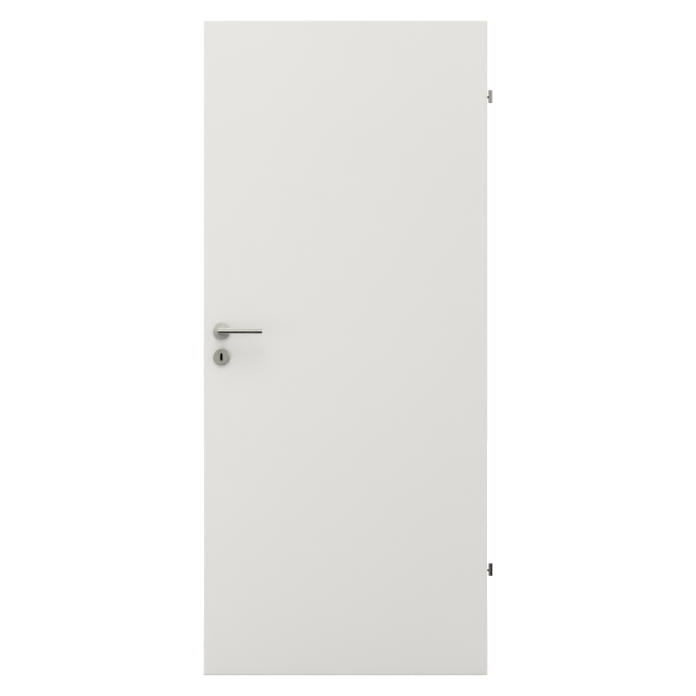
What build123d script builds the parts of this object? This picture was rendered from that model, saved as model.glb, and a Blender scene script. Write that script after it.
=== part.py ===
# Flush interior door leaf with a rebated edge, a lever handle set and screw-in hinge halves.
# Millimetres. X runs from the lock side to the hinge side, Y from the front face into the
# door, Z up. The origin is on the hinge pins' axis, at the lower hinge barrel's bottom face.
import os

from build123d import *

os.makedirs("parts", exist_ok=True)

# Leaf
leaf_width = 860.0
leaf_height = 1985.0
leaf_thickness = 40.0
overlap_width = 13.0
overlap_thickness = 14.5
skin_thickness = 3.0
band_thickness = 1.0
front_edge_radius = 2.5
lock_stile_width = 90.0
hinge_stile_width = 60.0
rail_height = 60.0

# Hinge halves
barrel_radius = 6.5
barrel_height = 39.0
barrel_chamfer = 0.6
barrel_offset = 10.0
pin_bore_radius = 3.5
pin_bore_depth = 31.0
peg_radius = 3.2
peg_height = 17.3
peg_depth = 36.0
peg_seat_depth = 2.5
peg_chamfer = 0.8
hinge_below_top = 250.0
hinge_above_bottom = 300.0

# Lock
lever_from_edge = 53.7
lever_above_bottom = 1043.0
key_below_lever = 78.6
case_thickness = 15.0
case_above_lever = 40.0
case_below_key = 42.0
case_behind_lever = 20.0
forend_width = 18.0
forend_thickness = 3.0
forend_above_lever = 80.0
forend_height = 235.0
forend_corner_radius = 3.0
screw_hole_radius = 2.3
screw_head_radius = 4.2
screw_from_end = 11.0
latch_above_lever = 6.0
latch_width = 12.0
latch_height = 31.0
latch_throw = 12.0
latch_depth = 16.0
latch_tip_width = 3.0
bolt_above_key = 4.0
bolt_width = 8.0
bolt_height = 34.0
bolt_depth = 22.0
follower_radius = 9.8

# Round plates on both faces
rose_radius = 25.0
key_plate_radius = 24.5
plate_height = 9.0
cover_wall = 1.2
cover_edge_radius = 1.4
keyhole_width = 8.3
keyhole_height = 23.8
keyhole_depth = 5.0

# Lever handles
grip_radius = 9.0
grip_end = 125.0
grip_projection = 60.0
grip_edge_radius = 1.0
journal_radius = 8.0
spindle_side = 8.0
spindle_depth = 26.0
spindle_hole_radius = 10.0
grub_screw_radius = 2.5
grub_recess = 0.4
grub_socket_width = 2.5
grub_socket_depth = 2.0
grub_from_plate = 10.0

# Clearances
fixed_clearance = 0.1
turning_clearance = 0.15
cover_clearance = 0.3
seat_gap = 0.3

# Places worked out from the sizes
edge_x_hinge = -barrel_offset
edge_x_lock = edge_x_hinge - leaf_width
rebate_x_hinge = edge_x_hinge - overlap_width
rebate_x_lock = edge_x_lock + overlap_width
front_y = -overlap_thickness / 2
rebate_y = front_y + overlap_thickness
back_y = front_y + leaf_thickness
core_front_y = front_y + skin_thickness
core_back_y = back_y - skin_thickness
bottom_z = -hinge_above_bottom
top_z = bottom_z + leaf_height
upper_hinge_z = top_z - hinge_below_top
rebate_top_z = top_z - overlap_width
lever_x = edge_x_lock + lever_from_edge
lever_z = bottom_z + lever_above_bottom
key_z = lever_z - key_below_lever
lock_y = (rebate_y + back_y) / 2
forend_z = lever_z + forend_above_lever - forend_height / 2
latch_z = lever_z + latch_above_lever
bolt_z = key_z + bolt_above_key
case_front_x = rebate_x_lock + forend_thickness
case_back_x = lever_x + case_behind_lever
case_front_y = lock_y - case_thickness / 2
case_back_y = lock_y + case_thickness / 2
case_top_z = lever_z + case_above_lever
case_bottom_z = key_z - case_below_key
lock_stile_inner_x = edge_x_lock + lock_stile_width
hinge_stile_inner_x = edge_x_hinge - hinge_stile_width
base_height = plate_height - cover_wall - fixed_clearance
shoulder_height = base_height + seat_gap
hinge_heights = {"lower": 0.0, "upper": upper_hinge_z}

# Each face of the leaf, with the direction that looks out of it.
faces = {"front": (front_y, -1), "back": (back_y, 1)}


def box_between(low, high, mode=Mode.ADD):
    """A box from its lowest corner to its highest, in the leaf's frame."""
    size = [h - l for l, h in zip(low, high)]
    with Locations(low):
        return Box(*size, align=(Align.MIN, Align.MIN, Align.MIN), mode=mode)


def outward(x, y, z, sign):
    """A plane at a point that looks out of the front (-1) or the back (1)."""
    return Plane(origin=(x, y, z), x_dir=(1, 0, 0), z_dir=(0, sign, 0))


def export(piece, node):
    piece.part.label = node
    export_step(piece.part, f"parts/{node}.step")


# What is cut through the leaf for the spindle and the key, from face to face.
with BuildPart() as lock_holes:
    with BuildSketch(outward(lever_x, front_y, lever_z, 1)):
        Circle(spindle_hole_radius)
    with BuildSketch(outward(lever_x, front_y, key_z, 1)):
        SlotOverall(keyhole_height, keyhole_width, rotation=90)
    extrude(amount=leaf_thickness)

# What is cut for the forend, flush in the rebate's face, and for the lock case behind it.
forend_plane = Plane(origin=(rebate_x_lock, lock_y, forend_z), x_dir=(0, 1, 0), z_dir=(1, 0, 0))
with BuildPart() as lock_mortise:
    with BuildSketch(forend_plane):
        RectangleRounded(
            forend_width + 2 * fixed_clearance,
            forend_height + 2 * fixed_clearance,
            forend_corner_radius + fixed_clearance,
        )
    extrude(amount=forend_thickness)
    box_between(
        (case_front_x, case_front_y - fixed_clearance, case_bottom_z - seat_gap),
        (case_back_x + seat_gap, case_back_y + fixed_clearance, case_top_z + seat_gap),
    )

# What is drilled for the hinge pegs, in from the hinge edge.
with BuildPart() as peg_holes:
    with BuildSketch(Plane.YZ.offset(edge_x_hinge)):
        with Locations(*[(0, z + peg_height) for z in hinge_heights.values()]):
            Circle(peg_radius + fixed_clearance)
    extrude(amount=-(peg_depth + seat_gap))

# Skins. The front one reaches over the overlap, and its front edges are eased.
with BuildPart() as front_skin:
    box_between((edge_x_lock, front_y, bottom_z), (edge_x_hinge, core_front_y, top_z))
    fillet(front_skin.faces().sort_by(Axis.Y)[0].edges(), front_edge_radius)
    add(lock_holes.part, mode=Mode.SUBTRACT)
export(front_skin, "front_skin")

with BuildPart() as back_skin:
    box_between((rebate_x_lock, core_back_y, bottom_z), (rebate_x_hinge, back_y, rebate_top_z))
    add(lock_holes.part, mode=Mode.SUBTRACT)
export(back_skin, "back_skin")

# Frame inside the skins. The stiles and the top rail carry the overlap.
ledge_y = rebate_y - band_thickness
with BuildPart() as lock_stile:
    box_between(
        (edge_x_lock + band_thickness, core_front_y, bottom_z),
        (lock_stile_inner_x, ledge_y, top_z - band_thickness),
    )
    box_between(
        (rebate_x_lock + band_thickness, ledge_y, bottom_z),
        (lock_stile_inner_x, core_back_y, rebate_top_z - band_thickness),
    )
    add(lock_mortise.part, mode=Mode.SUBTRACT)
    add(lock_holes.part, mode=Mode.SUBTRACT)
export(lock_stile, "lock_stile")

with BuildPart() as hinge_stile:
    box_between(
        (hinge_stile_inner_x, core_front_y, bottom_z),
        (edge_x_hinge - band_thickness, ledge_y, top_z - band_thickness),
    )
    box_between(
        (hinge_stile_inner_x, ledge_y, bottom_z),
        (rebate_x_hinge - band_thickness, core_back_y, rebate_top_z - band_thickness),
    )
    add(peg_holes.part, mode=Mode.SUBTRACT)
export(hinge_stile, "hinge_stile")

with BuildPart() as top_rail:
    box_between(
        (lock_stile_inner_x, core_front_y, top_z - rail_height),
        (hinge_stile_inner_x, ledge_y, top_z - band_thickness),
    )
    box_between(
        (lock_stile_inner_x, ledge_y, top_z - rail_height),
        (hinge_stile_inner_x, core_back_y, rebate_top_z - band_thickness),
    )
export(top_rail, "top_rail")

with BuildPart() as bottom_rail:
    box_between(
        (lock_stile_inner_x, core_front_y, bottom_z),
        (hinge_stile_inner_x, core_back_y, bottom_z + rail_height),
    )
export(bottom_rail, "bottom_rail")

with BuildPart() as core_panel:
    box_between(
        (lock_stile_inner_x, core_front_y, bottom_z + rail_height),
        (hinge_stile_inner_x, core_back_y, top_z - rail_height),
    )
export(core_panel, "core_panel")

# Edge bands, folded round the overlap's edge, the ledge and the rebate's face, and mitred
# at the two upper corners. The hinge side's band is the lock side's one mirrored.
mitre = Plane(origin=(edge_x_lock, 0, top_z), x_dir=(0, 1, 0), z_dir=(1, 0, 1))
leaf_middle = Plane.YZ.offset((edge_x_lock + edge_x_hinge) / 2)

with BuildPart() as side_band:
    with BuildSketch(Plane.XY.offset(bottom_z)):
        with BuildLine():
            Polyline(
                (edge_x_lock, core_front_y),
                (edge_x_lock + band_thickness, core_front_y),
                (edge_x_lock + band_thickness, ledge_y),
                (rebate_x_lock + band_thickness, ledge_y),
                (rebate_x_lock + band_thickness, core_back_y),
                (rebate_x_lock, core_back_y),
                (rebate_x_lock, rebate_y),
                (edge_x_lock, rebate_y),
                close=True,
            )
        make_face()
    extrude(amount=leaf_height)
    split(bisect_by=mitre, keep=Keep.BOTTOM)

with BuildPart() as lock_edge_band:
    add(side_band.part)
    add(lock_mortise.part, mode=Mode.SUBTRACT)
export(lock_edge_band, "lock_edge_band")

with BuildPart() as hinge_edge_band:
    mirror(side_band.part, about=leaf_middle)
    add(peg_holes.part, mode=Mode.SUBTRACT)
export(hinge_edge_band, "hinge_edge_band")

with BuildPart() as top_edge_band:
    with BuildSketch(Plane.YZ.offset(edge_x_lock)):
        with BuildLine():
            Polyline(
                (core_front_y, top_z),
                (rebate_y, top_z),
                (rebate_y, rebate_top_z),
                (core_back_y, rebate_top_z),
                (core_back_y, rebate_top_z - band_thickness),
                (ledge_y, rebate_top_z - band_thickness),
                (ledge_y, top_z - band_thickness),
                (core_front_y, top_z - band_thickness),
                close=True,
            )
        make_face()
    extrude(amount=leaf_width)
    split(bisect_by=mitre, keep=Keep.TOP)
    split(bisect_by=Plane(origin=(edge_x_hinge, 0, top_z), x_dir=(0, 1, 0), z_dir=(-1, 0, 1)), keep=Keep.TOP)
export(top_edge_band, "top_edge_band")

# Mortise lock: its case, with the key's way cut in from both sides, and what shows at the edge.
latch_half_width = latch_width / 2
bolt_half_width = bolt_width / 2
with BuildPart() as bolt_slots:
    box_between(
        (
            rebate_x_lock,
            lock_y - latch_half_width - fixed_clearance,
            latch_z - latch_height / 2 - fixed_clearance,
        ),
        (
            case_front_x + latch_depth + fixed_clearance,
            lock_y + latch_half_width + fixed_clearance,
            latch_z + latch_height / 2 + fixed_clearance,
        ),
    )
    box_between(
        (
            rebate_x_lock,
            lock_y - bolt_half_width - fixed_clearance,
            bolt_z - bolt_height / 2 - fixed_clearance,
        ),
        (
            case_front_x + bolt_depth + fixed_clearance,
            lock_y + bolt_half_width + fixed_clearance,
            bolt_z + bolt_height / 2 + fixed_clearance,
        ),
    )

with BuildPart() as lock_case:
    box_between((case_front_x, case_front_y, case_bottom_z), (case_back_x, case_back_y, case_top_z))
    add(bolt_slots.part, mode=Mode.SUBTRACT)
    with BuildSketch(outward(lever_x, case_front_y, lever_z, 1)):
        Circle(follower_radius + turning_clearance)
    extrude(amount=case_thickness, mode=Mode.SUBTRACT)
    with BuildSketch(outward(lever_x, case_front_y, key_z, 1), outward(lever_x, case_back_y, key_z, -1)):
        SlotOverall(keyhole_height, keyhole_width, rotation=90)
    extrude(amount=keyhole_depth, mode=Mode.SUBTRACT)
export(lock_case, "lock_case")

with BuildPart() as lock_forend:
    with BuildSketch(forend_plane):
        RectangleRounded(forend_width, forend_height, forend_corner_radius)
    extrude(amount=forend_thickness)
    add(bolt_slots.part, mode=Mode.SUBTRACT)
    screw_reach = forend_height / 2 - screw_from_end
    with Locations(Plane(origin=(rebate_x_lock, lock_y, forend_z), x_dir=(0, 1, 0), z_dir=(-1, 0, 0))):
        with Locations((0, -screw_reach), (0, screw_reach)):
            CounterSinkHole(screw_hole_radius, screw_head_radius)
export(lock_forend, "lock_forend")

# The latch bolt is flat towards the front, where it holds, and bevelled towards the back.
with BuildPart() as latch_bolt:
    tip_x = rebate_x_lock - latch_throw
    with BuildSketch(Plane.XY.offset(latch_z)):
        with BuildLine():
            Polyline(
                (case_front_x + latch_depth, lock_y - latch_half_width),
                (case_front_x + latch_depth, lock_y + latch_half_width),
                (rebate_x_lock, lock_y + latch_half_width),
                (tip_x, lock_y - latch_half_width + latch_tip_width),
                (tip_x, lock_y - latch_half_width),
                close=True,
            )
        make_face()
    extrude(amount=latch_height / 2, both=True)
export(latch_bolt, "latch_bolt")

# The dead bolt is drawn back, with its end flush in the forend.
with BuildPart() as dead_bolt:
    box_between(
        (rebate_x_lock, lock_y - bolt_half_width, bolt_z - bolt_height / 2),
        (case_front_x + bolt_depth, lock_y + bolt_half_width, bolt_z + bolt_height / 2),
    )
export(dead_bolt, "dead_bolt")

# Round plates, each a cap over a base: the rose that the lever turns in, and the key plate.
for face, (face_y, sign) in faces.items():
    rose_plane = outward(lever_x, face_y, lever_z, sign)
    key_plane = outward(lever_x, face_y, key_z, sign)

    with BuildPart() as rose_cover:
        with BuildSketch(rose_plane):
            Circle(rose_radius)
        extrude(amount=plate_height)
        outer_face = rose_cover.faces().sort_by(Axis.Y)[-1 if sign > 0 else 0]
        fillet(outer_face.edges(), cover_edge_radius)
        with BuildSketch(rose_plane):
            Circle(rose_radius - cover_wall)
        extrude(amount=plate_height - cover_wall, mode=Mode.SUBTRACT)
        with BuildSketch(rose_plane):
            Circle(grip_radius + cover_clearance)
        extrude(amount=plate_height, mode=Mode.SUBTRACT)
    export(rose_cover, f"{face}_rose_cover")

    with BuildPart() as rose_base:
        with BuildSketch(rose_plane):
            Circle(rose_radius - cover_wall - fixed_clearance)
            Circle(journal_radius + turning_clearance, mode=Mode.SUBTRACT)
        extrude(amount=base_height)
    export(rose_base, f"{face}_rose_base")

    with BuildPart() as key_plate_cover:
        with BuildSketch(key_plane):
            Circle(key_plate_radius)
        extrude(amount=plate_height)
        outer_face = key_plate_cover.faces().sort_by(Axis.Y)[-1 if sign > 0 else 0]
        fillet(outer_face.edges(), cover_edge_radius)
        with BuildSketch(key_plane):
            Circle(key_plate_radius - cover_wall)
        extrude(amount=plate_height - cover_wall, mode=Mode.SUBTRACT)
        with BuildSketch(key_plane):
            SlotOverall(keyhole_height, keyhole_width, rotation=90)
        extrude(amount=plate_height, mode=Mode.SUBTRACT)
    export(key_plate_cover, f"{face}_key_plate_cover")

    with BuildPart() as key_plate_base:
        with BuildSketch(key_plane):
            Circle(key_plate_radius - cover_wall - fixed_clearance)
            SlotOverall(keyhole_height, keyhole_width, rotation=90, mode=Mode.SUBTRACT)
        extrude(amount=base_height)
    export(key_plate_base, f"{face}_key_plate_base")

# Levers: a journal in the rose's base, a neck and a grip of one tube, mitred at the corner.
# The back one is held on the spindle by a grub screw from below.
spindle_reach = spindle_depth - fixed_clearance
grub_top_z = lever_z - spindle_side / 2 - fixed_clearance
grub_bottom_z = lever_z - grip_radius + grub_recess
grub_y = back_y + plate_height + grub_from_plate

for face, (face_y, sign) in faces.items():
    grip_y = face_y + sign * grip_projection
    shoulder_y = face_y + sign * shoulder_height
    inner_end_y = face_y + sign * seat_gap
    with BuildPart() as lever:
        with BuildLine():
            Polyline(
                (lever_x, shoulder_y, lever_z),
                (lever_x, grip_y, lever_z),
                (lever_x + grip_end, grip_y, lever_z),
            )
        with BuildSketch(outward(lever_x, shoulder_y, lever_z, sign)):
            Circle(grip_radius)
        sweep(transition=Transition.RIGHT)
        fillet(lever.faces().sort_by(Axis.X)[-1].edges(), grip_edge_radius)
        with BuildSketch(outward(lever_x, inner_end_y, lever_z, sign)):
            Circle(journal_radius)
        extrude(amount=shoulder_height - seat_gap)
        with BuildSketch(outward(lever_x, inner_end_y, lever_z, sign)):
            Rectangle(spindle_side + 2 * fixed_clearance, spindle_side + 2 * fixed_clearance)
        extrude(amount=spindle_depth, mode=Mode.SUBTRACT)
        if face == "back":
            with BuildSketch(Plane.XY.offset(lever_z - grip_radius)):
                with Locations((lever_x, grub_y)):
                    Circle(grub_screw_radius + fixed_clearance)
            extrude(amount=grip_radius, mode=Mode.SUBTRACT)
    export(lever, f"{face}_lever")

with BuildPart() as grub_screw:
    with BuildSketch(Plane.XY.offset(grub_bottom_z)):
        with Locations((lever_x, grub_y)):
            Circle(grub_screw_radius)
    extrude(amount=grub_top_z - grub_bottom_z)
    with BuildSketch(Plane.XY.offset(grub_bottom_z)):
        with Locations((lever_x, grub_y)):
            RegularPolygon(grub_socket_width / 2, 6, major_radius=False)
    extrude(amount=grub_socket_depth, mode=Mode.SUBTRACT)
export(grub_screw, "grub_screw")

with BuildPart() as spindle:
    with BuildSketch(outward(lever_x, front_y - seat_gap - spindle_reach, lever_z, 1)):
        Rectangle(spindle_side, spindle_side)
    extrude(amount=leaf_thickness + 2 * (seat_gap + spindle_reach))
export(spindle, "spindle")

# The lock's follower turns with the spindle inside the case.
with BuildPart() as lock_follower:
    with BuildSketch(outward(lever_x, case_front_y, lever_z, 1)):
        Circle(follower_radius)
        Rectangle(
            spindle_side + 2 * fixed_clearance,
            spindle_side + 2 * fixed_clearance,
            mode=Mode.SUBTRACT,
        )
    extrude(amount=case_thickness)
export(lock_follower, "lock_follower")

# Hinge halves: a barrel bored from below for the frame's pin, and a peg screwed into the edge.
for place, hinge_z in hinge_heights.items():
    peg_z = hinge_z + peg_height
    with BuildPart() as barrel:
        with BuildSketch(Plane.XY.offset(hinge_z)):
            Circle(barrel_radius)
        extrude(amount=barrel_height)
        chamfer(barrel.edges().filter_by(GeomType.CIRCLE), barrel_chamfer)
        with BuildSketch(Plane.XY.offset(hinge_z)):
            Circle(pin_bore_radius)
        extrude(amount=pin_bore_depth, mode=Mode.SUBTRACT)
        with BuildSketch(Plane.YZ.offset(-barrel_radius)):
            with Locations((0, peg_z)):
                Circle(peg_radius + fixed_clearance)
        extrude(amount=peg_seat_depth, mode=Mode.SUBTRACT)
    export(barrel, f"{place}_hinge_barrel")

    with BuildPart() as peg:
        with BuildSketch(Plane.YZ.offset(peg_seat_depth - barrel_radius)):
            with Locations((0, peg_z)):
                Circle(peg_radius)
        extrude(amount=-(peg_seat_depth - barrel_radius - edge_x_hinge + peg_depth))
        chamfer(peg.faces().sort_by(Axis.X)[0].edges(), peg_chamfer)
    export(peg, f"{place}_hinge_peg")
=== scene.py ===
import math

import bpy
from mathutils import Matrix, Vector


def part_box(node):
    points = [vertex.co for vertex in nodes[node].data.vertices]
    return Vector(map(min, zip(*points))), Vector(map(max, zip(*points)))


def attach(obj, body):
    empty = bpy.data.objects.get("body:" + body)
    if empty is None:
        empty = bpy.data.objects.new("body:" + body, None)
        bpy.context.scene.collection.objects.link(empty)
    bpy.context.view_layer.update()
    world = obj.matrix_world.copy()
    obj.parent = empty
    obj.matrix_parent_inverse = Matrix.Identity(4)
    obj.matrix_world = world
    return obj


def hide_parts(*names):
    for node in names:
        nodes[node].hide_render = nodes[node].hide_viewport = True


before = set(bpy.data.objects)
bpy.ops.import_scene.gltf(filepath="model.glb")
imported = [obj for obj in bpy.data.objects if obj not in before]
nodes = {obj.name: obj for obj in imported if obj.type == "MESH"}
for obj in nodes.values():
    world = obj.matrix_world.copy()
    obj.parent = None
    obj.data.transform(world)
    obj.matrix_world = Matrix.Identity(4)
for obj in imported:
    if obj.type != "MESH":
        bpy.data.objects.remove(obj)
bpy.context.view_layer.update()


def middle(node):
    """The middle of a CAD node's box."""
    low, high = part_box(node)
    return (low + high) / 2


# Places taken from the frame, in metres.
leaf_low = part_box("front_skin")[0]
rose_centre = middle("front_rose_cover")
key_centre = middle("front_key_plate_cover")
forend_low, forend_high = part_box("lock_forend")
front_grip_low, front_grip_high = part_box("front_lever")
back_grip_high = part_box("back_lever")[1]
grip_radius = (front_grip_high.z - front_grip_low.z) / 2
leaf_middle_y = (front_grip_low.y + back_grip_high.y) / 2
corner_reach = (back_grip_high.y - front_grip_low.y) / 2 - grip_radius

# The photograph's view: its width at the leaf's face, and the point at its middle.
FIELD_WIDTH = 2.1104
CAMERA_DISTANCE = 12.0
CLIP_END = 200.0
SENSOR_WIDTH = 36.0
MIDDLE_X = -0.4325
MIDDLE_Z = 0.6916

# Finishes: the colours where a surface's grain is low and high, and the roughness there.
LAMINATE = {"low": (0.790, 0.778, 0.752), "high": (0.805, 0.793, 0.767), "roughness": (0.40, 0.50)}
TIMBER = {"low": (0.58, 0.41, 0.24), "high": (0.40, 0.25, 0.12), "roughness": (0.60, 0.80)}
CORE_BOARD = {"low": (0.42, 0.30, 0.17), "high": (0.60, 0.46, 0.29), "roughness": (0.70, 0.90)}
LEVER_STEEL = {"low": (0.635, 0.625, 0.593), "high": (0.730, 0.720, 0.688), "roughness": (0.09, 0.16)}
FOREND_STEEL = {"low": (0.635, 0.625, 0.593), "high": (0.730, 0.720, 0.688), "roughness": (0.24, 0.36)}
ROSE_STEEL = {"low": (0.624, 0.614, 0.586), "high": (0.72, 0.71, 0.682), "roughness": (0.24, 0.32)}
# The key plate's steel is the rose's steel made darker and warmer: painted shade from the lever above it, and
# a painted warm reflection.
KEY_PLATE_STEEL_PAINTED_SHADE = {"low": (0.45, 0.446, 0.396), "high": (0.54, 0.536, 0.477), "roughness": (0.24, 0.32)}
BOLT_NICKEL = {"low": (0.46, 0.45, 0.43), "high": (0.54, 0.53, 0.50), "roughness": (0.22, 0.34)}
BARREL_NICKEL = {"low": (0.34, 0.336, 0.320), "high": (0.40, 0.396, 0.377), "roughness": (0.12, 0.20)}
CASE_STEEL = {"low": (0.020, 0.020, 0.019), "high": (0.035, 0.034, 0.032), "roughness": (0.45, 0.6)}
PLAIN_STEEL = {"low": (0.30, 0.30, 0.29), "high": (0.38, 0.38, 0.37), "roughness": (0.3, 0.45)}
# The hinge pegs' steel is near black: painted shade for the shadowed gap between the leaf's edge and the
# barrels.
PEG_STEEL_PAINTED_SHADE = {"low": (0.020, 0.019, 0.018), "high": (0.05, 0.048, 0.045), "roughness": (0.35, 0.5)}
BLACK_NYLON = {"low": (0.008, 0.008, 0.008), "high": (0.02, 0.02, 0.02), "roughness": (0.55, 0.75)}

# Handling marks: how many there are to a metre, and how much rougher they leave the metal.
PLATE_MARKS = (60.0, 0.10)
LEVER_MARKS = (45.0, 0.06)
FITTING_MARKS = (45.0, 0.08)
METAL_GRAIN_DEPTH = 0.00002

# How fine the other patterns are, to a metre.
LAMINATE_PATCHES = 2.2
FACE_PEARLS = 1400.0
EDGE_PEARLS = 1800.0
TIMBER_RINGS = 45.0
TIMBER_FIBRES = 900.0
BOARD_CHIPS = 420.0
NYLON_GRAINS = 2500.0
TURNED_RINGS = 5000.0

# Stretches for a grain that runs along an axis or round it: the least stretched axis is its run.
UNSTRETCHED = (1.0, 1.0, 1.0)
DRAWN_ALONG_X = (60.0, 3000.0, 3000.0)
DRAWN_ALONG_Y = (3000.0, 60.0, 3000.0)
DRAWN_ALONG_Z = (3000.0, 3000.0, 60.0)
DRAWN_ROUND_X = (5000.0, 200.0, 200.0)
DRAWN_ROUND_Z = (200.0, 200.0, 5000.0)
TIMBER_ALONG_X = (0.03, 1.0, 1.0)
TIMBER_ALONG_Z = (1.0, 1.0, 0.03)

# The hinge pegs' thread and the forend's screws, in metres.
THREAD_PITCH = 0.0012
THREAD_DEPTH = 0.00045
THREAD_SIDES = 40
THREAD_STEPS = 8
SCREW_HEAD_RADIUS = 0.0040
SCREW_SHANK_RADIUS = 0.0021
SCREW_HEAD_DEPTH = 0.0021
SCREW_SIDES = 48
SCREW_SUNK = 0.0001
SCREW_RECESS_WIDTH = 0.0011
SCREW_RECESS_LENGTH = 0.0044
SCREW_RECESS_DEPTH = 0.0015
SCREW_FROM_END = 0.011

# Lights, which dull surfaces see: levels that shade the leaf's face a little from top to bottom.
WHITE = (1.0, 1.0, 1.0)
KEY_DIRECTION = Vector((-0.06, -0.60, 0.80))
KEY_DISTANCE = 6.5
KEY_SIZE = 3.8
KEY_POWER = 130.0
KEY_COLOUR = (0.97, 0.985, 1.0)
SIDE_PLACE = Vector((-2.7, -1.7, 0.3))
SIDE_SIZE = 1.6
SIDE_POWER = 9.0
BACK_PLACE = Vector((0.4, 4.6, 4.4))
BACK_POWER = 80.0
FILL_COLOUR = (1.0, 0.99, 0.975)
FILL_STRENGTH = 0.85
BACKDROP_STRENGTH = 1.05

# The studio that bright metal mirrors: its colours from straight down (0) to straight up (1), how
# much brighter it is to the right, and a screen on each side, by its angle from the front.
MIRRORED_STUDIO = (
    (0.0, (0.03, 0.03, 0.03)),
    (0.485, (0.04, 0.04, 0.035)),
    (0.50, (1.00, 0.99, 0.93)),
    (0.56, (1.20, 1.19, 1.14)),
    (0.60, (1.36, 1.35, 1.31)),
    (0.76, (1.36, 1.35, 1.31)),
    (0.80, (0.42, 0.42, 0.41)),
    (0.965, (0.42, 0.42, 0.41)),
    (0.985, (1.80, 1.79, 1.75)),
    (1.0, (1.80, 1.79, 1.75)),
)
STUDIO_LEAN = 0.45
SIDE_SCREENS = ((math.radians(-55), 0.55), (math.radians(55), -0.30))
SIDE_SCREEN_EDGE = (math.cos(math.radians(26)), math.cos(math.radians(12)))

# Floor: its tones for the camera, for dull surfaces and in bright metal, near the leaf and far off.
FLOOR_DROP = 0.0005
FLOOR_SIZE = 60.0
FLOOR_WHITE = (0.80, 1.0)
FLOOR_WHITE_FADE = (1.5, 6.0)
FLOOR_DIFFUSE = 0.55
FLOOR_DIFFUSE_IN_CAMERA = 0.20
FLOOR_IN_METAL = (0.03, 0.30)
FLOOR_METAL_FADE = (2.0, 2.5)

# Flags, which only bright metal mirrors: where each stands on the floor's plan, its top and tone.
LOW_FLAG_LINE = ((-0.35, -1.4), (0.9, -1.4), (1.7, -0.6), (1.7, 0.6))
LOW_FLAG_TOP = 0.45
LOW_FLAG_TONE = 0.06
TALL_FLAG_LINE = ((-0.20, -1.4), (0.18, -1.4))
TALL_FLAG_TOP = 2.2
TALL_FLAG_TONE = 0.20

QUARTER_TURN = math.pi / 2
FLOAT = "NodeSocketFloat"
WHOLE = "NodeSocketInt"
VECTOR = "NodeSocketVector"
MATERIAL = "NodeSocketMaterial"


def add_node(tree, kind, inputs=None, **options):
    """Adds a node, sets its options, and fills its inputs with values or links."""
    node = tree.nodes.new(kind)
    for name, value in options.items():
        setattr(node, name, value)
    for name, value in (inputs or {}).items():
        if isinstance(value, bpy.types.NodeSocket):
            tree.links.new(value, node.inputs[name])
        else:
            node.inputs[name].default_value = value
    return node


def calc(tree, operation, *terms):
    """One arithmetic step, from numbers or sockets."""
    return add_node(tree, "ShaderNodeMath", dict(enumerate(terms)), operation=operation).outputs[0]


def vector_calc(tree, operation, *terms):
    """One step of vector arithmetic: its outputs are a Vector, and a Value where it measures."""
    node = add_node(tree, "ShaderNodeVectorMath", dict(enumerate(terms)), operation=operation)
    return node.outputs


def split_axes(tree, vector):
    return add_node(tree, "ShaderNodeSeparateXYZ", {0: vector}).outputs


def join_axes(tree, axes):
    return add_node(tree, "ShaderNodeCombineXYZ", axes).outputs[0]


def between(tree, mask, low, high):
    """A number that runs from low to high with the mask."""
    return add_node(tree, "ShaderNodeMapRange", {"Value": mask, "To Min": low, "To Max": high}).outputs[0]


def fade(tree, value, reach, levels):
    """A number that eases from the first level to the second while the value crosses the reach."""
    ends = {"From Min": reach[0], "From Max": reach[1], "To Min": levels[0], "To Max": levels[1]}
    node = add_node(tree, "ShaderNodeMapRange", {"Value": value, **ends}, interpolation_type="SMOOTHSTEP")
    return node.outputs[0]


def new_group(name, kind, inputs, outputs):
    """A node group with named inputs, given as (name, type, value), and named outputs."""
    group = bpy.data.node_groups.new(name, kind)
    for socket, socket_type, value in inputs:
        made = group.interface.new_socket(socket, in_out="INPUT", socket_type=socket_type)
        if value is not None:
            made.default_value = value
    for socket, socket_type in outputs:
        group.interface.new_socket(socket, in_out="OUTPUT", socket_type=socket_type)
    start = group.nodes.new("NodeGroupInput").outputs
    end = group.nodes.new("NodeGroupOutput").inputs
    return group, start, end


def use_group(tree, group, inputs):
    return add_node(tree, "ShaderNodeGroup", inputs, node_tree=group).outputs


def put_in_scene(name, data):
    made = bpy.data.objects.new(name, data)
    bpy.context.scene.collection.objects.link(made)
    return made


def make_drawn_grain():
    """Fine streaks left by brushing along one axis, the one that the stretch makes the longest."""
    group, start, end = new_group(
        "drawn_grain",
        "ShaderNodeTree",
        [("Position", VECTOR, None), ("Stretch", VECTOR, UNSTRETCHED), ("Fineness", FLOAT, 1.0)],
        [("Streaks", FLOAT)],
    )
    squeezed = vector_calc(group, "MULTIPLY", start["Position"], start["Stretch"])["Vector"]
    scaled = vector_calc(group, "MULTIPLY", squeezed, start["Fineness"])["Vector"]
    fine = add_node(group, "ShaderNodeTexNoise", {"Vector": scaled, "Scale": 1.0, "Detail": 6.0})
    group.links.new(fine.outputs["Fac"], end["Streaks"])
    return group


def make_turned_grain():
    """Fine rings left by turning a round plate about an axis along Y."""
    group, start, end = new_group(
        "turned_grain",
        "ShaderNodeTree",
        [("Position", VECTOR, None), ("Centre", VECTOR, None), ("Rings per metre", FLOAT, TURNED_RINGS)],
        [("Rings", FLOAT)],
    )
    offset = split_axes(group, vector_calc(group, "SUBTRACT", start["Position"], start["Centre"])["Vector"])
    flat = join_axes(group, {"X": offset["X"], "Z": offset["Z"]})
    distance = vector_calc(group, "LENGTH", flat)["Value"]
    heading = split_axes(group, vector_calc(group, "NORMALIZE", flat)["Vector"])
    ring = calc(group, "MULTIPLY", distance, start["Rings per metre"])
    along = join_axes(group, {"X": ring, "Y": heading["X"], "Z": heading["Z"]})
    fine = add_node(group, "ShaderNodeTexNoise", {"Vector": along, "Scale": 1.0, "Detail": 5.0})
    group.links.new(fine.outputs["Fac"], end["Rings"])
    return group


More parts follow.
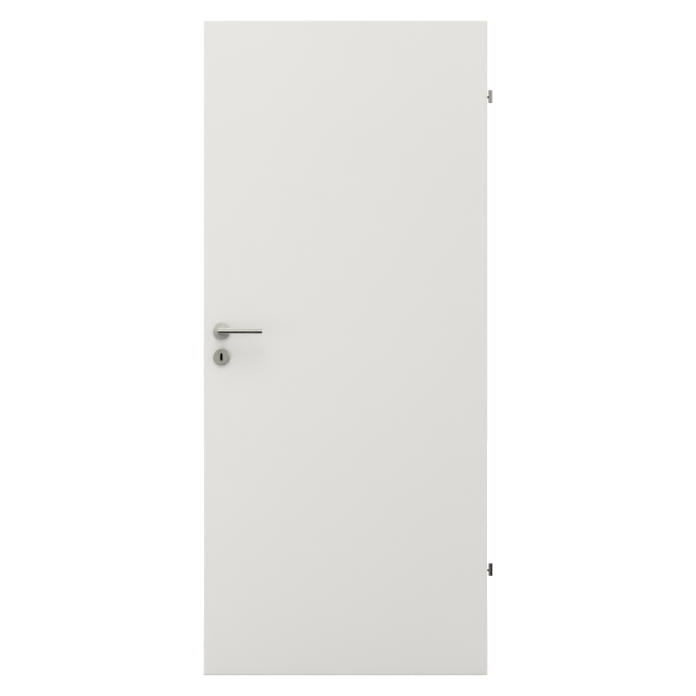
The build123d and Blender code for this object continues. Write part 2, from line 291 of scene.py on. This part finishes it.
def make_handling():
    """Soft, uneven patches where hands and cloths have been, as a mask round one half."""
    group, start, end = new_group(
        "handling",
        "ShaderNodeTree",
        [("Position", VECTOR, None), ("Patches per metre", FLOAT, 20.0)],
        [("Patches", FLOAT)],
    )
    broad = add_node(
        group,
        "ShaderNodeTexNoise",
        {"Vector": start["Position"], "Scale": start["Patches per metre"], "Detail": 3.0, "Distortion": 0.6},
    )
    group.links.new(broad.outputs["Fac"], end["Patches"])
    return group


def make_timber_grain():
    """Growth rings cut lengthwise, with fine fibres: put out as a colour mask and a height."""
    group, start, end = new_group(
        "timber_grain",
        "ShaderNodeTree",
        [("Position", VECTOR, None), ("Stretch", VECTOR, UNSTRETCHED)],
        [("Rings", FLOAT), ("Fibres", FLOAT)],
    )
    squeezed = vector_calc(group, "MULTIPLY", start["Position"], start["Stretch"])["Vector"]
    rings = add_node(
        group,
        "ShaderNodeTexWave",
        {"Vector": squeezed, "Scale": TIMBER_RINGS, "Distortion": 6.0, "Detail": 3.0, "Detail Scale": 1.5},
        wave_type="RINGS",
        rings_direction="SPHERICAL",
        wave_profile="SAW",
    )
    fine = {"Vector": squeezed, "Scale": TIMBER_FIBRES, "Detail": 4.0}
    fibres = add_node(group, "ShaderNodeTexNoise", fine)
    group.links.new(rings.outputs["Fac"], end["Rings"])
    group.links.new(fibres.outputs["Fac"], end["Fibres"])
    return group


drawn_grain = make_drawn_grain()
turned_grain = make_turned_grain()
handling = make_handling()
timber_grain = make_timber_grain()


def new_material(name, constants):
    """A material with one shader, whose constant values are set on the shader's own sockets."""
    material = bpy.data.materials.new(name)
    material.use_nodes = True
    tree = material.node_tree
    shader = tree.nodes["Principled BSDF"]
    for socket, value in constants.items():
        shader.inputs[socket].default_value = value
    place = add_node(tree, "ShaderNodeTexCoord").outputs["Object"]
    return material, tree, shader, place


def colour_by(tree, shader, mask, finish):
    """The shader's colour, from the finish's low to its high with the mask."""
    node = add_node(tree, "ShaderNodeMix", {"Factor": mask}, data_type="RGBA")
    node.inputs[6].default_value = (*finish["low"], 1.0)
    node.inputs[7].default_value = (*finish["high"], 1.0)
    tree.links.new(node.outputs[2], shader.inputs["Base Color"])


def roughness_by(tree, shader, mask, finish):
    tree.links.new(between(tree, mask, *finish["roughness"]), shader.inputs["Roughness"])


def bump_by(tree, shader, height, strength, depth):
    node = add_node(tree, "ShaderNodeBump", {"Height": height, "Strength": strength, "Distance": depth})
    tree.links.new(node.outputs["Normal"], shader.inputs["Normal"])


def finish_metal(tree, shader, place, grain, finish, marks, strength=0.3):
    """Colour, roughness and relief that follow a metal's grain, rougher where hands have been."""
    marks_per_metre, added_roughness = marks
    patches = use_group(tree, handling, {"Position": place, "Patches per metre": marks_per_metre})
    grain_roughness = between(tree, grain, *finish["roughness"])
    uneven = calc(tree, "MULTIPLY_ADD", patches["Patches"], added_roughness, grain_roughness)
    tree.links.new(uneven, shader.inputs["Roughness"])
    colour_by(tree, shader, grain, finish)
    bump_by(tree, shader, grain, strength, METAL_GRAIN_DEPTH)


def make_laminate(name, pearls_per_metre):
    """Silk matt laminate: a very fine pearl structure, and a slightly uneven sheen and tone."""
    material, tree, shader, place = new_material(name, {"IOR": 1.46, "Specular IOR Level": 0.5})
    patches = use_group(tree, handling, {"Position": place, "Patches per metre": LAMINATE_PATCHES})["Patches"]
    pearl = add_node(tree, "ShaderNodeTexNoise", {"Vector": place, "Scale": pearls_per_metre, "Detail": 2.0})
    colour_by(tree, shader, patches, LAMINATE)
    roughness_by(tree, shader, patches, LAMINATE)
    bump_by(tree, shader, pearl.outputs["Fac"], strength=0.5, depth=0.0001)
    return material


def make_timber(name, stretch):
    """Raw planed softwood, with its grain along the axis that the stretch shortens."""
    material, tree, shader, place = new_material(name, {"IOR": 1.45, "Specular IOR Level": 0.3})
    grain = use_group(tree, timber_grain, {"Position": place, "Stretch": stretch})
    colour_by(tree, shader, grain["Rings"], TIMBER)
    roughness_by(tree, shader, grain["Fibres"], TIMBER)
    bump_by(tree, shader, grain["Fibres"], strength=0.5, depth=0.0002)
    return material


def make_core_board():
    """Raw particle board: pressed chips of several browns."""
    material, tree, shader, place = new_material("core_board", {"IOR": 1.45, "Specular IOR Level": 0.25})
    chips = add_node(tree, "ShaderNodeTexVoronoi", {"Vector": place, "Scale": BOARD_CHIPS, "Randomness": 1.0})
    tones = add_node(tree, "ShaderNodeSeparateColor", {0: chips.outputs["Color"]}).outputs
    colour_by(tree, shader, tones[0], CORE_BOARD)
    roughness_by(tree, shader, tones[1], CORE_BOARD)
    bump_by(tree, shader, chips.outputs["Distance"], strength=0.6, depth=0.0004)
    return material


def make_turned_steel(name, centre, finish):
    """Satin steel with turned rings about a centre, which draw highlights into wedges."""
    constants = {"Metallic": 1.0, "Anisotropic": 0.85, "Anisotropic Rotation": 0.25}
    material, tree, shader, place = new_material(name, constants)
    rings = use_group(tree, turned_grain, {"Position": place, "Centre": centre})["Rings"]
    finish_metal(tree, shader, place, rings, finish, PLATE_MARKS, strength=0.25)
    tangent = add_node(tree, "ShaderNodeTangent", direction_type="RADIAL", axis="Y")
    tree.links.new(tangent.outputs["Tangent"], shader.inputs["Tangent"])
    return material


def make_drawn_steel(name, stretch, finish, fineness=1.0):
    """Steel brushed along one axis, with fine streaks and soft handling marks."""
    material, tree, shader, place = new_material(name, {"Metallic": 1.0})
    grain = {"Position": place, "Stretch": stretch, "Fineness": fineness}
    streaks = use_group(tree, drawn_grain, grain)["Streaks"]
    finish_metal(tree, shader, place, streaks, finish, FITTING_MARKS)
    return material


def make_lever_steel():
    """Steel tube brushed lengthwise: the neck in and out of the leaf, and the grip along it."""
    material, tree, shader, place = new_material("lever_steel", {"Metallic": 1.0})
    axes = split_axes(tree, place)
    from_middle = calc(tree, "ABSOLUTE", calc(tree, "SUBTRACT", axes["Y"], leaf_middle_y))
    short_of_corner = calc(tree, "SUBTRACT", corner_reach, from_middle)
    past_neck = calc(tree, "SUBTRACT", axes["X"], rose_centre.x)
    on_neck = calc(tree, "GREATER_THAN", short_of_corner, past_neck)
    grip = use_group(tree, drawn_grain, {"Position": place, "Stretch": DRAWN_ALONG_X})["Streaks"]
    neck = use_group(tree, drawn_grain, {"Position": place, "Stretch": DRAWN_ALONG_Y})["Streaks"]
    streaks = add_node(tree, "ShaderNodeMix", {"Factor": on_neck, "A": grip, "B": neck}).outputs["Result"]
    finish_metal(tree, shader, place, streaks, LEVER_STEEL, LEVER_MARKS)
    return material


def make_black_nylon():
    """Moulded black nylon with a fine spark-eroded grain."""
    material, tree, shader, place = new_material("black_nylon", {"IOR": 1.5, "Specular IOR Level": 0.3})
    grain = add_node(tree, "ShaderNodeTexNoise", {"Vector": place, "Scale": NYLON_GRAINS, "Detail": 2.0})
    colour_by(tree, shader, grain.outputs["Fac"], BLACK_NYLON)
    roughness_by(tree, shader, grain.outputs["Fac"], BLACK_NYLON)
    bump_by(tree, shader, grain.outputs["Fac"], strength=0.4, depth=0.00008)
    return material


def dress(material, *names):
    """Gives a material to CAD nodes, on their own slots."""
    for name in names:
        nodes[name].data.materials.clear()
        nodes[name].data.materials.append(material)


def dress_leaf():
    dress(make_laminate("face_laminate", FACE_PEARLS), "front_skin", "back_skin")
    dress(make_laminate("edge_laminate", EDGE_PEARLS), "lock_edge_band", "hinge_edge_band", "top_edge_band")
    dress(make_timber("stile_timber", TIMBER_ALONG_Z), "lock_stile", "hinge_stile")
    dress(make_timber("rail_timber", TIMBER_ALONG_X), "top_rail", "bottom_rail")
    dress(make_core_board(), "core_panel")


def dress_plates():
    """The roses and the key plates: turned covers over moulded bases."""
    rose = make_turned_steel("rose_steel", rose_centre, ROSE_STEEL)
    # The key plates get the darker, warmer steel: painted shade from the lever, and a painted warm
    # reflection.
    key_plate = make_turned_steel("key_plate_steel_painted_shade", key_centre, KEY_PLATE_STEEL_PAINTED_SHADE)
    nylon = make_black_nylon()
    for face in ("front", "back"):
        dress(rose, f"{face}_rose_cover")
        dress(key_plate, f"{face}_key_plate_cover")
        dress(nylon, f"{face}_rose_base", f"{face}_key_plate_base")


def dress_levers(plain_steel):
    dress(make_lever_steel(), "front_lever", "back_lever")
    dress(plain_steel, "spindle", "grub_screw", "lock_follower")


def dress_lock():
    dress(make_drawn_steel("forend_steel", DRAWN_ALONG_Z, FOREND_STEEL), "lock_forend")
    nickel = make_drawn_steel("bolt_nickel", DRAWN_ALONG_X, BOLT_NICKEL, fineness=0.6)
    dress(nickel, "latch_bolt", "dead_bolt")
    dress(make_drawn_steel("case_steel", DRAWN_ROUND_X, CASE_STEEL, fineness=0.3), "lock_case")


def dress_barrels():
    nickel = make_drawn_steel("barrel_nickel", DRAWN_ROUND_Z, BARREL_NICKEL)
    dress(nickel, "lower_hinge_barrel", "upper_hinge_barrel")


def geometry_tree(name, inputs):
    """A geometry tree with named inputs, for a piece that is worked out from its sizes."""
    return new_group(name, "GeometryNodeTree", inputs, [("Geometry", "NodeSocketGeometry")])


def end_tree(tree, end, geometry, finish):
    """Ends a geometry tree in a real mesh with its material."""
    real = add_node(tree, "GeometryNodeRealizeInstances", {"Geometry": geometry}).outputs[0]
    done = add_node(tree, "GeometryNodeSetMaterial", {"Geometry": real, "Material": finish})
    tree.links.new(done.outputs[0], end["Geometry"])


def grow(name, tree, values):
    """Runs a geometry tree with its inputs set by identifier, and returns a plain mesh object."""
    seed = put_in_scene(name + "_seed", bpy.data.meshes.new(name + "_seed"))
    modifier = seed.modifiers.new("shape", "NODES")
    modifier.node_group = tree
    for item in tree.interface.items_tree:
        if item.item_type == "SOCKET" and item.in_out == "INPUT":
            modifier[item.identifier] = values[item.name]
    bpy.context.view_layer.update()
    graph = bpy.context.evaluated_depsgraph_get()
    mesh = bpy.data.meshes.new_from_object(seed.evaluated_get(graph))
    seed.modifiers.remove(modifier)
    bpy.data.objects.remove(seed)
    mesh.name = name
    return put_in_scene(name, mesh)


def make_peg_tree():
    """A threaded rod along X: a closed cylinder whose side is pushed in by a V-shaped helix."""
    tree, start, end = geometry_tree(
        "threaded_peg",
        [
            ("Crest Radius", FLOAT, None),
            ("Thread Depth", FLOAT, THREAD_DEPTH),
            ("Pitch", FLOAT, THREAD_PITCH),
            ("Length", FLOAT, None),
            ("Sides", WHOLE, THREAD_SIDES),
            ("Steps", WHOLE, None),
            ("Middle", VECTOR, None),
            ("Finish", MATERIAL, None),
        ],
    )
    crest = start["Crest Radius"]
    size = {"Vertices": start["Sides"], "Side Segments": start["Steps"], "Depth": start["Length"]}
    rod = add_node(tree, "GeometryNodeMeshCylinder", {**size, "Radius": crest}).outputs["Mesh"]
    axes = split_axes(tree, add_node(tree, "GeometryNodeInputPosition").outputs[0])
    turn = calc(tree, "DIVIDE", calc(tree, "ARCTAN2", axes["Y"], axes["X"]), 2 * math.pi)
    step = calc(tree, "ADD", calc(tree, "DIVIDE", axes["Z"], start["Pitch"]), turn)
    wave = calc(tree, "PINGPONG", step, 0.5)
    inset = calc(tree, "MULTIPLY", calc(tree, "MULTIPLY", wave, 2.0), start["Thread Depth"])
    shrink = calc(tree, "DIVIDE", calc(tree, "SUBTRACT", crest, inset), crest)
    pulled_x = calc(tree, "MULTIPLY", axes["X"], shrink)
    pulled_y = calc(tree, "MULTIPLY", axes["Y"], shrink)
    pulled = join_axes(tree, {"X": pulled_x, "Y": pulled_y, "Z": axes["Z"]})
    cut = add_node(tree, "GeometryNodeSetPosition", {"Geometry": rod, "Position": pulled}).outputs[0]
    laid = add_node(
        tree,
        "GeometryNodeTransform",
        {"Geometry": cut, "Rotation": (0.0, QUARTER_TURN, 0.0), "Translation": start["Middle"]},
    )
    end_tree(tree, end, laid.outputs[0], start["Finish"])
    return tree


def make_pegs():
    # Near-black steel for the pegs: painted shade in the gap beside the barrels.
    peg_painted_shade = make_drawn_steel("peg_steel_painted_shade", DRAWN_ROUND_X, PEG_STEEL_PAINTED_SHADE, fineness=0.5)
    tree = make_peg_tree()
    for place in ("lower", "upper"):
        low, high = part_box(f"{place}_hinge_peg")
        length = high.x - low.x
        values = {
            "Crest Radius": (high.z - low.z) / 2,
            "Thread Depth": THREAD_DEPTH,
            "Pitch": THREAD_PITCH,
            "Length": length,
            "Sides": THREAD_SIDES,
            "Steps": round(length / THREAD_PITCH * THREAD_STEPS),
            "Middle": (low + high) / 2,
            "Finish": peg_painted_shade,
        }
        peg = grow(f"{place}_threaded_peg", tree, values)
        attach(peg, "leaf")
        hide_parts(f"{place}_hinge_peg")


def make_screw_tree():
    """Two countersunk screws in a line along Z, heads towards -X, each with a cross recess."""
    tree, start, end = geometry_tree(
        "forend_screws",
        [
            ("Head Radius", FLOAT, SCREW_HEAD_RADIUS),
            ("Shank Radius", FLOAT, SCREW_SHANK_RADIUS),
            ("Head Depth", FLOAT, SCREW_HEAD_DEPTH),
            ("Recess Width", FLOAT, SCREW_RECESS_WIDTH),
            ("Recess Length", FLOAT, SCREW_RECESS_LENGTH),
            ("Recess Depth", FLOAT, SCREW_RECESS_DEPTH),
            ("First Head", VECTOR, None),
            ("Spacing", FLOAT, None),
            ("Finish", MATERIAL, None),
        ],
    )
    cone = {"Radius Top": start["Head Radius"], "Radius Bottom": start["Shank Radius"]}
    head = add_node(
        tree, "GeometryNodeMeshCone", {"Vertices": SCREW_SIDES, "Depth": start["Head Depth"], **cone}
    )
    both_ways = calc(tree, "MULTIPLY", start["Recess Depth"], 2.0)
    size = join_axes(tree, {"X": start["Recess Length"], "Y": start["Recess Width"], "Z": both_ways})
    arm = add_node(tree, "GeometryNodeMeshCube", {"Size": size}).outputs["Mesh"]
    quarter = {"Geometry": arm, "Rotation": (0.0, 0.0, QUARTER_TURN)}
    crossing = add_node(tree, "GeometryNodeTransform", quarter).outputs[0]
    cross = add_node(tree, "GeometryNodeMeshBoolean", operation="UNION", solver="EXACT")
    tree.links.new(arm, cross.inputs["Mesh 2"])
    tree.links.new(crossing, cross.inputs["Mesh 2"])
    top = join_axes(tree, {"Z": start["Head Depth"]})
    lifted = {"Geometry": cross.outputs["Mesh"], "Translation": top}
    raised = add_node(tree, "GeometryNodeTransform", lifted).outputs[0]
    screw = add_node(tree, "GeometryNodeMeshBoolean", operation="DIFFERENCE", solver="EXACT")
    tree.links.new(head.outputs["Mesh"], screw.inputs["Mesh 1"])
    tree.links.new(raised, screw.inputs["Mesh 2"])
    spacing = join_axes(tree, {"Z": start["Spacing"]})
    ends = {"Count": 2, "Start Location": start["First Head"], "Offset": spacing}
    line = add_node(tree, "GeometryNodeMeshLine", ends).outputs[0]
    placed = add_node(
        tree,
        "GeometryNodeInstanceOnPoints",
        {"Points": line, "Instance": screw.outputs["Mesh"], "Rotation": (0.0, -QUARTER_TURN, 0.0)},
    )
    end_tree(tree, end, placed.outputs[0], start["Finish"])
    return tree


def make_forend_screws(plain_steel):
    head_x = forend_low.x + SCREW_SUNK + SCREW_HEAD_DEPTH
    middle_y = (forend_low.y + forend_high.y) / 2
    values = {
        "Head Radius": SCREW_HEAD_RADIUS,
        "Shank Radius": SCREW_SHANK_RADIUS,
        "Head Depth": SCREW_HEAD_DEPTH,
        "Recess Width": SCREW_RECESS_WIDTH,
        "Recess Length": SCREW_RECESS_LENGTH,
        "Recess Depth": SCREW_RECESS_DEPTH,
        "First Head": (head_x, middle_y, forend_low.z + SCREW_FROM_END),
        "Spacing": forend_high.z - forend_low.z - 2 * SCREW_FROM_END,
        "Finish": plain_steel,
    }
    screws = grow("forend_screws", make_screw_tree(), values)
    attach(screws, "leaf")


def place_camera():
    """The photograph's view: square on to the front face, from far off with a long lens."""
    data = bpy.data.cameras.new("photo_camera")
    data.sensor_width = SENSOR_WIDTH
    data.lens = SENSOR_WIDTH * CAMERA_DISTANCE / FIELD_WIDTH
    data.clip_end = CLIP_END
    camera = put_in_scene("photo_camera", data)
    camera.location = (MIDDLE_X, leaf_low.y - CAMERA_DISTANCE, MIDDLE_Z)
    camera.rotation_euler = (QUARTER_TURN, 0.0, 0.0)
    bpy.context.scene.camera = camera
    bpy.context.scene.view_settings.view_transform = "Standard"


def empty_tree(owner):
    """A world's or a material's own node tree, emptied."""
    owner.use_nodes = True
    owner.node_tree.nodes.clear()
    return owner.node_tree


def mix_shaders(tree, mask, first, second):
    return add_node(tree, "ShaderNodeMixShader", {0: mask, 1: first, 2: second}).outputs[0]


def background(tree, colour, strength):
    return add_node(tree, "ShaderNodeBackground", {"Color": colour, "Strength": strength}).outputs[0]


def mirrored_colour(tree, rise):
    """What bright metal mirrors, by how far up it looks."""
    height = add_node(tree, "ShaderNodeMapRange", {"Value": rise, "From Min": -1.0, "From Max": 1.0})
    ramp = add_node(tree, "ShaderNodeValToRGB", {"Fac": height.outputs["Result"]})
    stops = ramp.color_ramp.elements
    while len(stops) < len(MIRRORED_STUDIO):
        stops.new(1.0)
    for stop, (position, colour) in zip(stops, MIRRORED_STUDIO):
        stop.position = position
        stop.color = (*colour, 1.0)
    return ramp.outputs[0]


def mirrored_strength(tree, way, sideways):
    """How bright the mirrored studio is, by the side that metal looks to."""
    level = vector_calc(tree, "MULTIPLY", way, (1.0, 1.0, 0.0))["Vector"]
    level_way = vector_calc(tree, "NORMALIZE", level)["Vector"]
    strength = calc(tree, "MULTIPLY_ADD", sideways, STUDIO_LEAN, 1.0)
    for angle, change in SIDE_SCREENS:
        screen_middle = (math.sin(angle), -math.cos(angle), 0.0)
        facing = vector_calc(tree, "DOT_PRODUCT", level_way, screen_middle)["Value"]
        strength = calc(tree, "ADD", strength, fade(tree, facing, SIDE_SCREEN_EDGE, (0.0, change)))
    return strength


def make_world():
    """White for the camera, an even fill for dull surfaces, and a graded studio for bright metal."""
    world = bpy.data.worlds.new("studio")
    bpy.context.scene.world = world
    tree = empty_tree(world)
    path = add_node(tree, "ShaderNodeLightPath").outputs
    way = add_node(tree, "ShaderNodeTexCoord").outputs["Generated"]
    axes = split_axes(tree, way)
    mirrored = background(tree, mirrored_colour(tree, axes["Z"]), mirrored_strength(tree, way, axes["X"]))
    fill = background(tree, (*FILL_COLOUR, 1.0), FILL_STRENGTH)
    white = background(tree, (*WHITE, 1.0), BACKDROP_STRENGTH)
    lit = mix_shaders(tree, path["Is Glossy Ray"], fill, mirrored)
    shown = mix_shaders(tree, path["Is Camera Ray"], lit, white)
    add_node(tree, "ShaderNodeOutputWorld", {"Surface": shown})


def stage_sheet(name, corners, faces, material):
    """A flat piece of the studio, which isn't part of the object."""
    mesh = bpy.data.meshes.new(name)
    mesh.from_pydata(corners, [], faces)
    mesh.materials.append(material)
    sheet = put_in_scene(name, mesh)
    return sheet


def make_floor():
    """A plain white floor that the leaf stands on. Bright metal mirrors it dark, less so far off."""
    material = bpy.data.materials.new("floor_white")
    tree = empty_tree(material)
    path = add_node(tree, "ShaderNodeLightPath").outputs
    place = add_node(tree, "ShaderNodeNewGeometry").outputs["Position"]
    flat = vector_calc(tree, "MULTIPLY", place, (1.0, 1.0, 0.0))["Vector"]
    distance = vector_calc(tree, "LENGTH", flat)["Value"]
    dull_tone = between(tree, path["Is Camera Ray"], FLOOR_DIFFUSE, FLOOR_DIFFUSE_IN_CAMERA)
    dull = add_node(tree, "ShaderNodeBsdfDiffuse", {"Color": dull_tone})
    white = fade(tree, distance, FLOOR_WHITE_FADE, FLOOR_WHITE)
    shown_white = calc(tree, "MULTIPLY", path["Is Camera Ray"], white)
    glow = add_node(tree, "ShaderNodeEmission", {"Strength": shown_white})
    bright = add_node(tree, "ShaderNodeAddShader", {0: dull.outputs[0], 1: glow.outputs[0]})
    tone = fade(tree, distance, FLOOR_METAL_FADE, FLOOR_IN_METAL)
    mirrored = add_node(tree, "ShaderNodeEmission", {"Strength": tone})
    mixed = mix_shaders(tree, path["Is Glossy Ray"], bright.outputs[0], mirrored.outputs[0])
    add_node(tree, "ShaderNodeOutputMaterial", {"Surface": mixed})
    level = leaf_low.z - FLOOR_DROP
    reach = FLOOR_SIZE / 2
    corners = [(-reach, -reach, level), (reach, -reach, level), (reach, reach, level), (-reach, reach, level)]
    stage_sheet("studio_floor", corners, [(0, 1, 2, 3)], material)


def make_flag(name, line, bottom, top, tone):
    """A screen that only bright metal mirrors, standing along a line on the floor's plan."""
    material = bpy.data.materials.new(name)
    tree = empty_tree(material)
    dim = add_node(tree, "ShaderNodeEmission", {"Strength": tone})
    add_node(tree, "ShaderNodeOutputMaterial", {"Surface": dim.outputs[0]})
    count = len(line)
    corners = [(x, y, bottom) for x, y in line] + [(x, y, top) for x, y in line]
    faces = [(i, i + 1, count + i + 1, count + i) for i in range(count - 1)]
    flag = stage_sheet(name, corners, faces, material)
    flag.visible_camera = False
    flag.visible_diffuse = False
    flag.visible_shadow = False


def make_flags():
    """A low black flag at the front right, and a tall grey one in front of the hinge edge."""
    make_flag("low_flag", LOW_FLAG_LINE, leaf_low.z, LOW_FLAG_TOP, LOW_FLAG_TONE)
    make_flag("tall_flag", TALL_FLAG_LINE, LOW_FLAG_TOP, TALL_FLAG_TOP, TALL_FLAG_TONE)


def add_soft_light(name, place, size, power, colour=WHITE):
    """A large round light, turned to the handle, that neither metal nor the camera sees itself."""
    data = bpy.data.lights.new(name, "AREA")
    data.shape = "DISK"
    data.size = size
    data.energy = power
    data.color = colour
    light = put_in_scene(name, data)
    light.location = place
    light.rotation_mode = "QUATERNION"
    light.rotation_quaternion = (place - rose_centre).to_track_quat("Z", "Y")
    light.visible_camera = False
    light.visible_glossy = False


def make_lights():
    """The main light from above in front, a weak one from the left, and one for the far face."""
    key_place = rose_centre + KEY_DIRECTION.normalized() * KEY_DISTANCE
    add_soft_light("key_light", key_place, KEY_SIZE, KEY_POWER, KEY_COLOUR)
    add_soft_light("side_light", SIDE_PLACE, SIDE_SIZE, SIDE_POWER)
    add_soft_light("back_light", BACK_PLACE, KEY_SIZE, BACK_POWER)


place_camera()
make_world()
make_floor()
make_lights()
make_flags()

plain_steel = make_drawn_steel("plain_steel", DRAWN_ALONG_X, PLAIN_STEEL, fineness=0.5)
dress_leaf()
dress_plates()
dress_levers(plain_steel)
dress_lock()
dress_barrels()
make_pegs()
make_forend_screws(plain_steel)
